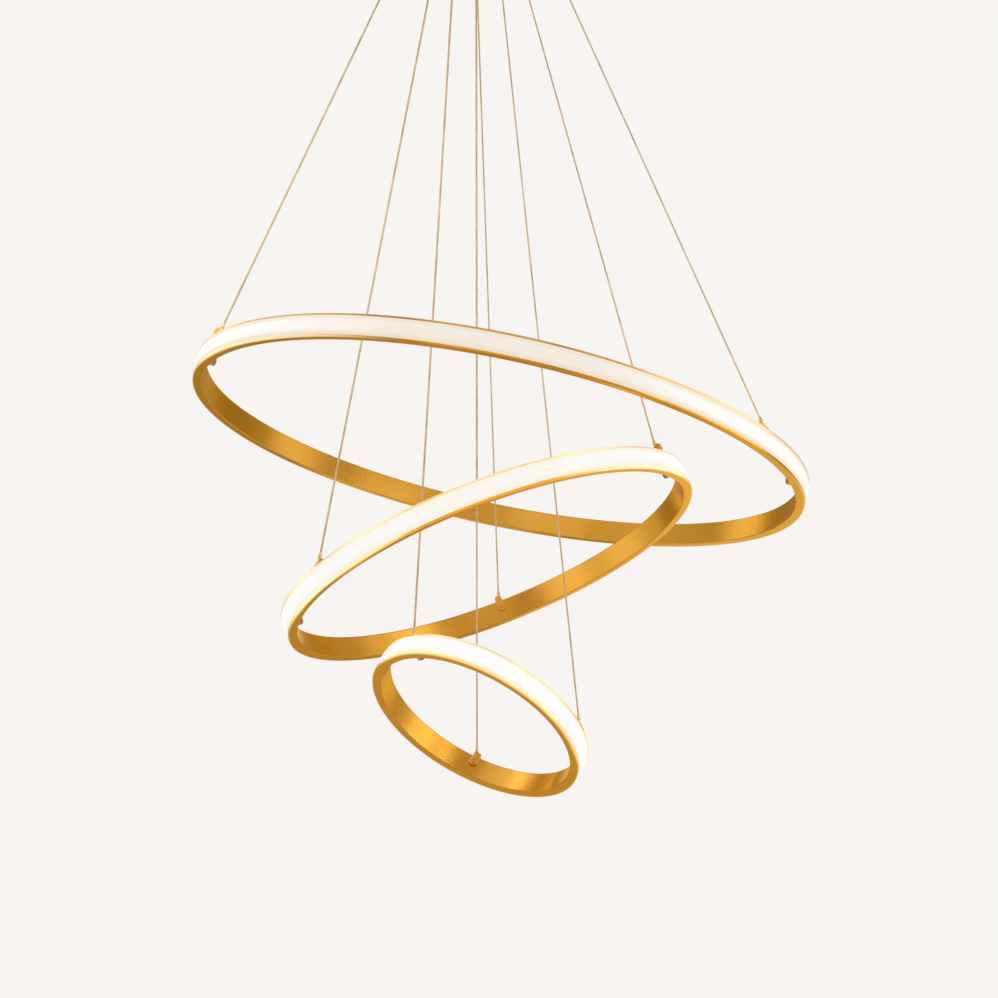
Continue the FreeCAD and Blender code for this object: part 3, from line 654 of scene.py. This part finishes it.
def piece_of(name, mesh, body, finish, node_name, crease=CREASE):
    """Shades the mesh, gives it its finish, attaches it to what it rides on, and hides the solid that it
    stands for.
    """
    mesh.materials.clear()
    mesh.materials.append(finish)
    for face in mesh.polygons:
        face.use_smooth = True
    mesh.set_sharp_from_angle(angle=math.radians(crease))
    piece = bpy.data.objects.new(name, mesh)
    scene.collection.objects.link(piece)
    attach(piece, body)
    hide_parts(node_name)


def mesh_of(name, shape, places=(Matrix.Identity(4),)):
    """One mesh with a copy of the shape at each place. The shape is used up."""
    single = bpy.data.meshes.new(name + "_single")
    shape.to_mesh(single)
    shape.free()
    gathered = bmesh.new()
    for place in places:
        copy = single.copy()
        copy.transform(place)
        gathered.from_mesh(copy)
        bpy.data.meshes.remove(copy)
    mesh = bpy.data.meshes.new(name)
    gathered.to_mesh(mesh)
    gathered.free()
    bpy.data.meshes.remove(single)
    return mesh


# ---------------------------------------------------------------- lit rings


def mirrored(upper):
    """The upper corners, then the same corners below, so that the outline closes."""
    return upper + [(x, -z, r) for x, z, r in reversed(upper)]


KEPT_FLAT = 1.0 * MM                # from a corner; the shading is flat past it


def channel_corners(outer):
    """The rolled channel, open outward, with its snap ribs and ledges."""
    inner = outer - RING_DEPTH
    under = HALF_HEIGHT - FLANGE
    wall = inner + WEB
    rib_out = outer - 2.2 * MM
    rib_in = rib_out - 0.8 * MM
    rib_low = under - 0.7 * MM
    ledge_low = 5.1 * MM
    ledge_high = ledge_low + 0.6 * MM
    ledge_out = wall + 0.7 * MM
    return mirrored([
        (inner, HALF_HEIGHT - KEPT_FLAT, 0.0), (inner, HALF_HEIGHT, 0.7 * MM),
        (inner + KEPT_FLAT, HALF_HEIGHT, 0.0), (outer - KEPT_FLAT, HALF_HEIGHT, 0.0),
        (outer, HALF_HEIGHT, 0.35 * MM),
        (outer, under, 0.2 * MM), (rib_out, under, 0.0), (rib_out, rib_low, 0.15 * MM),
        (rib_in, rib_low, 0.15 * MM), (rib_in, under, 0.0), (wall, under, 0.2 * MM),
        (wall, ledge_high, 0.0), (ledge_out, ledge_high, 0.15 * MM),
        (ledge_out, ledge_low, 0.15 * MM), (wall, ledge_low, 0.0),
    ])


CROWN = 0.9 * MM                    # the diffuser's middle stands out this far


def diffuser_corners(outer):
    """A crowned band with a barbed leg at each edge."""
    edge = HALF_HEIGHT - FLANGE - 0.2 * MM
    back = outer - 1.6 * MM
    shoulder = outer - 2.0 * MM
    barb = outer - 3.2 * MM
    leg_out = edge - 0.7 * MM
    leg_in = leg_out - 1.0 * MM
    tip = back - 2.8 * MM
    crown = [(outer + CROWN * (1 - share ** 2), edge * share, 0.0)
             for share in (0.0, 0.2, 0.4, 0.6, 0.8, 0.93)]
    upper = crown[1:] + [
        (outer, edge, 0.0), (shoulder, edge, 0.0), (shoulder, leg_out, 0.0),
        (barb, leg_out, 0.0), (barb, edge, 0.0), (barb - 1.1 * MM, leg_out, 0.0),
        (tip, leg_out, 0.2 * MM), (tip, leg_in, 0.2 * MM), (back, leg_in, 0.0),
    ]
    return crown[:1] + mirrored(upper)


for n, ring in RINGS.items():
    body = "ring_%d" % n
    place = ring_matrix(n)
    channel = wrapped(spun(outline(channel_corners(ring["radius"])), RING_STEPS),
                      ring["radius"])
    mesh = mesh_of(body + "_rolled_channel", channel, [place])
    piece_of(body + "_rolled_channel", mesh, body, RING_GOLD[n],
             body + "_channel")
    band = wrapped(spun(outline(diffuser_corners(ring["radius"])), RING_STEPS),
                   ring["radius"])
    mesh = mesh_of(body + "_lit_diffuser", band, [place])
    piece_of(body + "_lit_diffuser", mesh, body, DIFFUSER[n],
             body + "_diffuser", crease=50.0)

# ---------------------------------------------------------------- cable ends

BALL = 1.9 * MM                     # radius
NECK = 1.2 * MM                     # radius
NECK_LENGTH = 4.6 * MM              # from the middle of the ball
COLLAR = 1.7 * MM                   # radius
COLLAR_LENGTH = 0.9 * MM
FERRULE_CONE = 5.0 * MM
FERRULE_TIP = 1.15 * MM             # radius
BORE_FLOOR = -0.1 * MM
BORE_PLAY = 0.1 * MM                # round the cable in its ferrule


def cable_end_corners(hole):
    """Ball, neck and tapered ferrule, as half of their lengthwise cut."""
    round_ball = [(BALL * math.sin(t), -BALL * math.cos(t), 0.0)
                  for t in (math.radians(a) for a in range(10, 141, 10))]
    high = NECK_LENGTH + FERRULE_CONE
    return [(0.0, -BALL, 0.0)] + round_ball + [
        (NECK, NECK_LENGTH, 0.0), (COLLAR, NECK_LENGTH, 0.2 * MM),
        (COLLAR, NECK_LENGTH + COLLAR_LENGTH, 0.3 * MM), (FERRULE_TIP, high, 0.2 * MM),
        (hole, high, 0.0), (hole, BORE_FLOOR, 0.0), (0.0, BORE_FLOOR, 0.0),
    ]


def facing(start, aim):
    """A place at start, with its own Z along aim."""
    return Matrix.Translation(start) @ aim.to_track_quat("Z", "X").to_matrix().to_4x4()


for n in RINGS:
    body = "ring_%d" % n
    gathered = bmesh.new()
    for side in SIDES:
        start = ball_middle(n, side)
        aim = (cable_top(n, side) - start).normalized()
        hole = (SUPPLY_CABLE if side == "left" else PLAIN_CABLE) / 2 + BORE_PLAY
        end = wrapped(spun(outline(cable_end_corners(hole)), SMALL_STEPS))
        single = mesh_of(body + side, end, [facing(start, aim)])
        gathered.from_mesh(single)
        bpy.data.meshes.remove(single)
    mesh = bpy.data.meshes.new(body + "_ferrules")
    gathered.to_mesh(mesh)
    gathered.free()
    piece_of(body + "_ferrules", mesh, body, FERRULE_BRASS,
             body + "_cable_ends")

# ---------------------------------------------------------------- canopy and grips

SHEET = 1.0 * MM                    # wall of the canopy
CANOPY_ROUND = 9.0 * MM             # outside, at its lower edge
BEAD = 0.8 * MM                     # the rolled bead stands out this far at its rim

CANOPY_CORNERS = [
    (0.0, -CANOPY_HEIGHT, 0.0), (CANOPY_RADIUS, -CANOPY_HEIGHT, CANOPY_ROUND),
    (CANOPY_RADIUS, -3.2 * MM, 0.0), (CANOPY_RADIUS + 0.7 * MM, -2.4 * MM, 0.2 * MM),
    (CANOPY_RADIUS + BEAD, -1.6 * MM, 0.2 * MM),
    (CANOPY_RADIUS + 0.7 * MM, -0.8 * MM, 0.2 * MM), (CANOPY_RADIUS, 0.0, 0.2 * MM),
    (CANOPY_RADIUS - SHEET, 0.0, 0.2 * MM),
    (CANOPY_RADIUS - SHEET, -CANOPY_HEIGHT + SHEET, CANOPY_ROUND - SHEET),
    (0.0, -CANOPY_HEIGHT + SHEET, 0.0),
]
shell = wrapped(spun(outline(CANOPY_CORNERS), CANOPY_STEPS))
piece_of("spun_canopy", mesh_of("spun_canopy", shell), "canopy", CANOPY_GOLD,
         "canopy_shell", crease=40.0)


STUB = 4.0 * MM                     # radius
STUB_RISE = 9.0 * MM                # above the bottom of the canopy, inside
THREAD_TURNS = 9
THREAD_ROOT = 3.75 * MM             # radius
GRIP = 5.0 * MM                     # radius
GROOVE = 0.4 * MM
NOSE = 4.0 * MM                     # radius
NOSE_LENGTH = 3.5 * MM
TIP_ROOM = 3.1 * MM                 # radius of the room that the release tip slides in
TIP_ROOM_HEIGHT = 12.1 * MM
CABLE_BORE = 1.2 * MM               # radius


def grip_corners():
    """Threaded stub, body with a groove, and tapered nose."""
    face = -CANOPY_HEIGHT
    low = GRIP_EXIT_Z
    room_top = low + TIP_ROOM_HEIGHT
    groove = face - GRIP_LENGTH * 0.35
    thread = []
    for k in range(THREAD_TURNS):
        z = face + STUB_RISE - (k + 0.5) * STUB_RISE / THREAD_TURNS
        thread += [(STUB, z + 0.25 * MM, 0.0), (THREAD_ROOT, z - 0.2 * MM, 0.0)]
    return [(CABLE_BORE, face + STUB_RISE, 0.0)] + thread + [
        (STUB, face, 0.0), (GRIP, face, 0.2 * MM), (GRIP, groove, 0.1 * MM),
        (GRIP - GROOVE, groove - GROOVE, 0.0), (GRIP - GROOVE, groove - 3 * GROOVE, 0.0),
        (GRIP, groove - 4 * GROOVE, 0.1 * MM), (GRIP, low + NOSE_LENGTH, 0.3 * MM),
        (NOSE, low, 0.3 * MM), (TIP_ROOM, low, 0.1 * MM), (TIP_ROOM, room_top, 0.0),
        (CABLE_BORE, room_top, 0.0),
    ]


grip_spots = {(n, side): cable_top(n, side) for n in RINGS for side in SIDES}
grip_places = [Matrix.Translation((p.x, p.y, 0.0)) for p in grip_spots.values()]
grip = wrapped(spun(outline(grip_corners()), SMALL_STEPS))
piece_of("cable_grips", mesh_of("cable_grips", grip, grip_places), "canopy", FITTING_BRASS,
         "cable_grip_bodies")

TIP = 3.0 * MM                      # radius
TIP_MOUTH = 2.4 * MM                # radius
TIP_HIGH = GRIP_EXIT_Z + 9.0 * MM
TIP_LOW = GRIP_EXIT_Z - 5.0 * MM

TIP_CORNERS = [
    (CABLE_BORE, TIP_HIGH, 0.0), (TIP, TIP_HIGH, 0.0), (TIP, TIP_LOW, 0.5 * MM),
    (TIP_MOUTH, TIP_LOW, 0.15 * MM), (CABLE_BORE, GRIP_EXIT_Z, 0.4 * MM),
]
for (n, side), spot in grip_spots.items():
    tip = wrapped(spun(outline(TIP_CORNERS), SMALL_STEPS))
    name = "ring_%d_%s_release_tip" % (n, side)
    piece_of(name, mesh_of(name, tip, [Matrix.Translation((spot.x, spot.y, 0.0))]),
             "ring_%d_%s_release" % (n, side), FITTING_BRASS,
             "ring_%d_%s_grip_plunger" % (n, side))

# ---------------------------------------------------------------- clasps and small parts

LUG_RISE = {                        # above the outer edge of the ring; far lugs stay whole
    1: {"left": 4.4 * MM, "right": 0.4 * MM},
    2: {"left": 0.4 * MM, "right": 6.0 * MM},
    3: {"left": 0.4 * MM, "right": 0.4 * MM},
}
LUG_SLANT = 32.0                    # degrees that the near lugs rise inward
CLASP_REACH = 40.0 * MM             # a clasp lies within this of its place on the ring
FLAT_WITHIN = 0.8                   # degrees between faces that count as one flat face
CLASP_EDGE = 0.55 * MM              # the roundings
SCREW_EDGE = 0.08 * MM
BUSH_EDGE = 0.12 * MM


def merged_copy(node_name):
    """The node's mesh with its corners joined and its flat faces whole."""
    shape = bmesh.new()
    shape.from_mesh(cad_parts[node_name].data)
    bmesh.ops.remove_doubles(shape, verts=shape.verts, dist=MERGE)
    bmesh.ops.dissolve_limit(shape, angle_limit=math.radians(FLAT_WITHIN), verts=shape.verts,
                             edges=shape.edges)
    return shape


def eased(shape, width):
    """A narrow rounding along every sharp edge."""
    sharp = [e for e in shape.edges if len(e.link_faces) == 2
             and e.calc_face_angle() > math.radians(CREASE)]
    bmesh.ops.bevel(shape, geom=sharp, offset=width, segments=2, profile=0.5,
                    affect="EDGES", clamp_overlap=True, material=-1)
    bmesh.ops.remove_doubles(shape, verts=shape.verts, dist=MERGE)
    bmesh.ops.triangulate(shape, faces=[f for f in shape.faces if len(f.verts) > 4])
    return shape


def lowered(shape, n):
    """Slopes the lugs of the near clasps down towards the outer edge."""
    ring = RINGS[n]
    shape.transform(ring_matrix(n).inverted())
    for side, rise in LUG_RISE[n].items():
        angle = ring["hangers"][side]
        edge = polar(ring["radius"], angle, HALF_HEIGHT + rise)
        slope = math.radians(LUG_SLANT)
        facing_out = polar(math.sin(slope), angle, math.cos(slope))
        near = [f for f in shape.faces
                if (f.calc_center_median() - edge).length < CLASP_REACH]
        geom = near + list(dict.fromkeys(e for f in near for e in f.edges))
        geom += list(dict.fromkeys(v for f in near for v in f.verts))
        cut = bmesh.ops.bisect_plane(shape, geom=geom, plane_co=edge, plane_no=facing_out,
                                     clear_outer=True, dist=MERGE)
        rim = [e for e in cut["geom_cut"] if isinstance(e, bmesh.types.BMEdge)]
        bmesh.ops.holes_fill(shape, edges=rim, sides=0)
    shape.transform(ring_matrix(n))
    return shape


BUSH_HEIGHT = -5.5 * MM             # of the bushes, from the middle of the ring
BUSH_REACH = 12.0 * MM              # a bush lies within this of its place on the ring
FULLER = (1.30, 1.50, 1.30)         # inward, round the ring and along its axis


def fuller(shape, n):
    """Swells the heads of the bushes a little. The shape is left in the ring's level frame."""
    ring = RINGS[n]
    shape.transform(ring_matrix(n).inverted())
    for angle in ring["bushes"]:
        root = polar(ring["radius"] - RING_DEPTH, angle, BUSH_HEIGHT)
        place = Matrix.Translation(root) @ Matrix.Rotation(math.radians(angle), 4, "Z")
        back = place.inverted()
        for vert in shape.verts:
            spot = back @ vert.co
            if spot.length < BUSH_REACH and spot.x < 0.0:
                vert.co = place @ Vector([c * f for c, f in zip(spot, FULLER)])
    return shape


def small_part(node_name, name, width, body, finish, shape=None):
    """A piece from a solid's own mesh, or from the shape, with its edges rounded."""
    shape = shape or merged_copy(node_name)
    mesh = mesh_of(name, eased(shape, width))
    piece_of(name, mesh, body, finish, node_name)


for n in RINGS:
    body = "ring_%d" % n
    clasps = lowered(merged_copy(body + "_hanger_clasps"), n)
    small_part(body + "_hanger_clasps", body + "_drop_clasps", CLASP_EDGE, body, CLASP_BRASS,
               clasps)
    small_part(body + "_clasp_screws", body + "_cross_screws", SCREW_EDGE, body, CLASP_BRASS)
    bushes = eased(fuller(merged_copy(body + "_lead_bushes"), n), BUSH_EDGE)
    wrapped(bushes, RINGS[n]["radius"] - RING_DEPTH)
    piece_of(body + "_wire_bushes", mesh_of(body + "_wire_bushes", bushes, [ring_matrix(n)]),
             body, BUSH_PLASTIC, body + "_lead_bushes")

CANOPY_PARTS = [                    # solid, piece, rounding, finish, slot
    ("cable_grip_nuts", "grip_nuts", 0.3 * MM, FITTING_BRASS, "fitting_brass"),
    ("canopy_side_screws", "thumb_screws", 0.12 * MM, FITTING_BRASS, "fitting_brass"),
    ("ceiling_crossbar", "steel_crossbar", 0.25 * MM, BAR_STEEL, "bar_steel"),
    ("driver_screws", "driver_pan_screws", 0.15 * MM, BAR_STEEL, "bar_steel"),
    ("led_driver", "driver_case", 0.3 * MM, DRIVER_WHITE, "driver_plastic"),
    ("terminal_block", "terminal_strip", 0.4 * MM, TERMINAL_WHITE, "terminal_plastic"),
]
for node_name, name, width, finish, slot in CANOPY_PARTS:
    small_part(node_name, name, width, "canopy", finish)

# ---------------------------------------------------------------- finishes of the solids

NODE_FINISH = {"light_board": BOARD_WHITE, "phosphor_bead": PHOSPHOR}
for node_name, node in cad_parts.items():
    if node.hide_render:
        continue
    finish = next(f for key, f in NODE_FINISH.items() if node_name.endswith(key))
    for slot in node.material_slots:
        slot.material = finish
for cable in cables:
    cable.data.materials.append(CABLE_STEEL)

# ---------------------------------------------------------------- room and lights

PAPER = (0.930, 0.905, 0.880, 1.0)  # the pale wall of the photograph
ROOM_WHITE = (1.0, 0.97, 0.93, 1.0)
ROOM_LIGHT = 0.78                   # that matt surfaces get
WARM_DIM = (1.0, 0.86, 0.50, 1.0)
WARM_LIGHT = 0.36                   # that metal mirrors
FLOOR_SIZE = 6.0
FLOOR_Z = -2.2


def floor():
    """A plain pale floor under the lamp."""
    shape = bmesh.new()
    bmesh.ops.create_grid(shape, x_segments=1, y_segments=1, size=FLOOR_SIZE)
    bmesh.ops.translate(shape, verts=shape.verts, vec=(0.0, 0.0, FLOOR_Z))
    mesh = bpy.data.meshes.new("floor")
    shape.to_mesh(mesh)
    shape.free()
    material, tree, shader = new_material("floor_paint")
    place = add(tree, "ShaderNodeTexCoord").outputs["Object"]
    cloud = add(tree, "ShaderNodeTexNoise", None, Vector=place, Scale=1.4, Detail=4.0)
    colour = mixed(tree, cloud.outputs[0], (0.69, 0.67, 0.65, 1.0), (0.73, 0.71, 0.69, 1.0))
    tree.links.new(colour, shader.inputs["Base Color"])
    shader.inputs["Roughness"].default_value = 0.7
    mesh.materials.append(material)
    made = bpy.data.objects.new("floor", mesh)
    scene.collection.objects.link(made)


def room():
    """The camera sees the pale wall, matt surfaces a white room, and metal a warm dim one."""
    world = bpy.data.worlds.new("room")
    world.use_nodes = True
    tree = world.node_tree
    tree.nodes.clear()
    seen = add(tree, "ShaderNodeBackground", None, Color=PAPER, Strength=1.0)
    white = add(tree, "ShaderNodeBackground", None, Color=ROOM_WHITE, Strength=ROOM_LIGHT)
    warm = add(tree, "ShaderNodeBackground", None, Color=WARM_DIM, Strength=WARM_LIGHT)
    path = add(tree, "ShaderNodeLightPath")
    lit = add(tree, "ShaderNodeMixShader", None, i0=path.outputs["Is Diffuse Ray"],
              i1=warm.outputs[0], i2=white.outputs[0])
    both = add(tree, "ShaderNodeMixShader", None, i0=path.outputs["Is Camera Ray"],
               i1=lit.outputs[0], i2=seen.outputs[0])
    out = add(tree, "ShaderNodeOutputWorld")
    tree.links.new(both.outputs[0], out.inputs["Surface"])
    scene.world = world


PANEL_SPREAD = 22.0                 # degrees that each panel fills, seen from its ring
PANEL_TINT = (0.94, 1.0, 1.2)
PANELS = [                          # ring, angle on it, distance, brightness
    (1, 30, 2.2, 0.93), (1, 78, 2.2, 0.17), (1, 138, 2.2, 0.70), (1, 174, 2.2, 0.19),
    (2, 30, 2.2, 0.39), (2, 42, 0.75, 0.81), (2, 54, 2.2, 0.57), (2, 66, 0.75, 0.94),
    (2, 90, 0.75, 0.44), (2, 114, 2.2, 1.09), (2, 126, 2.2, 0.60), (2, 138, 0.75, 0.24),
    (2, 150, 2.2, 0.16), (2, 174, 0.75, 0.59), (3, 54, 0.75, 0.21), (3, 60, 2.2, 0.89),
    (3, 66, 0.75, 0.53), (3, 78, 0.75, 0.61), (3, 102, 0.75, 0.42), (3, 114, 0.75, 0.86),
    (3, 126, 0.75, 1.29), (3, 150, 0.75, 0.19), (3, 162, 0.75, 0.53), (3, 174, 0.75, 0.44),
]


def turned_back(n, degrees):
    """A point on a ring's inner face, and where a line from the camera goes on from there."""
    matrix = ring_matrix(n)
    spot = matrix @ polar(RINGS[n]["radius"] - RING_DEPTH, degrees, 0.0)
    inward = -(matrix.to_3x3() @ polar(1.0, degrees, 0.0))
    sight = (spot - camera.location).normalized()
    return spot, sight - 2 * sight.dot(inward) * inward


def panel(n, degrees, distance, brightness):
    """A soft panel whose light band shows on that ring at that angle.

    Brightness is what a mirror shows of it.
    """
    spot, aim = turned_back(n, degrees)
    width = 2 * distance * math.tan(math.radians(PANEL_SPREAD / 2))
    data = bpy.data.lights.new("panel_%d_%d" % (n, degrees), "AREA")
    data.shape = "SQUARE"
    data.size = width
    data.energy = brightness * math.pi * width * width
    data.color = PANEL_TINT
    light = bpy.data.objects.new(data.name, data)
    light.location = spot + aim * distance
    light.rotation_euler = aim.to_track_quat("Z", "Y").to_euler()
    light.visible_camera = False
    scene.collection.objects.link(light)


floor()
room()
for n, degrees, distance, brightness in PANELS:
    panel(n, degrees, distance, brightness)
scene.view_settings.view_transform = "Standard"
scene.view_settings.look = "None"
scene.view_settings.exposure = 0.0
scene.view_settings.gamma = 1.0
